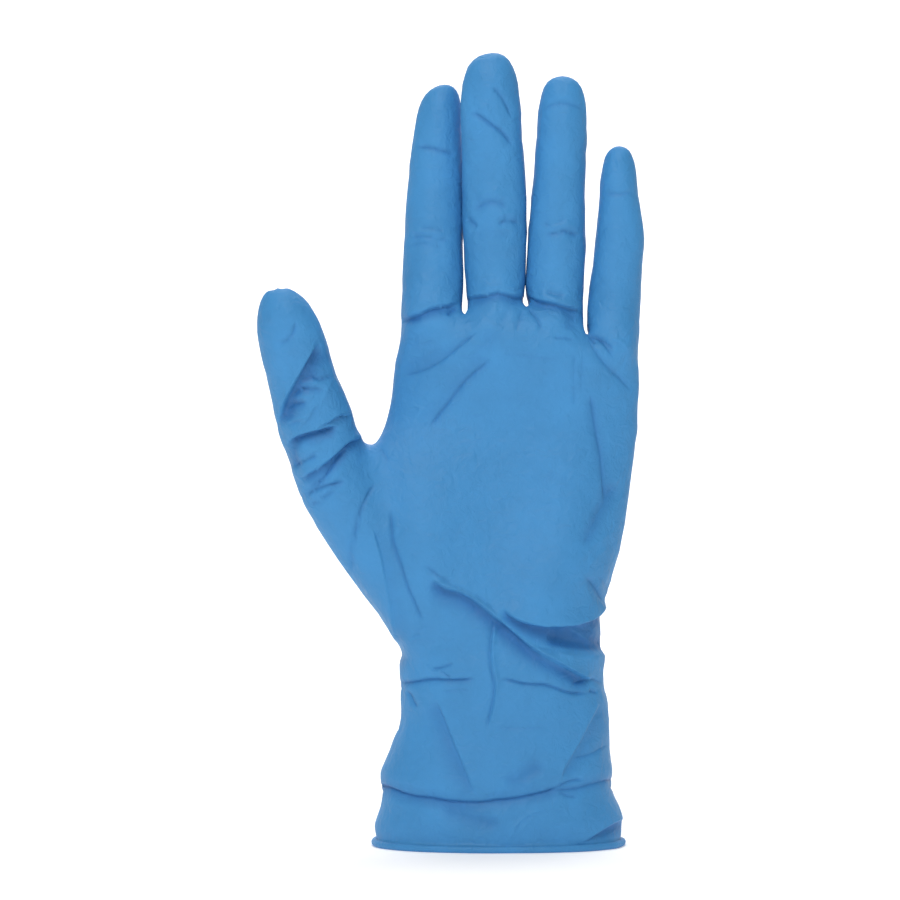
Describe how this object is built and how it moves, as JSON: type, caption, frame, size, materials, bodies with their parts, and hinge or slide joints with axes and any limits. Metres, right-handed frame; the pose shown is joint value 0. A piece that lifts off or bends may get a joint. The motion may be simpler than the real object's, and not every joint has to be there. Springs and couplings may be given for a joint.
{
  "type": "nitrile exam glove",
  "caption": "Thin blue nitrile exam glove with a beaded cuff, in the open-palm shape it takes when a left hand wears it.",
  "frame": {"origin": "middle of the cuff's mouth, in the plane of the bead's lowest edge", "axes": "+Z from the cuff to the fingertips, +X to the little finger's side, -Y out of the palm"},
  "size_m": [0.1188, 0.0567, 0.2448],
  "materials": {
    "nitrile": "satin light blue nitrile film, faintly textured"
  },
  "bodies": {
    "root": {"glove": "nitrile"}
  },
  "joints": []
}
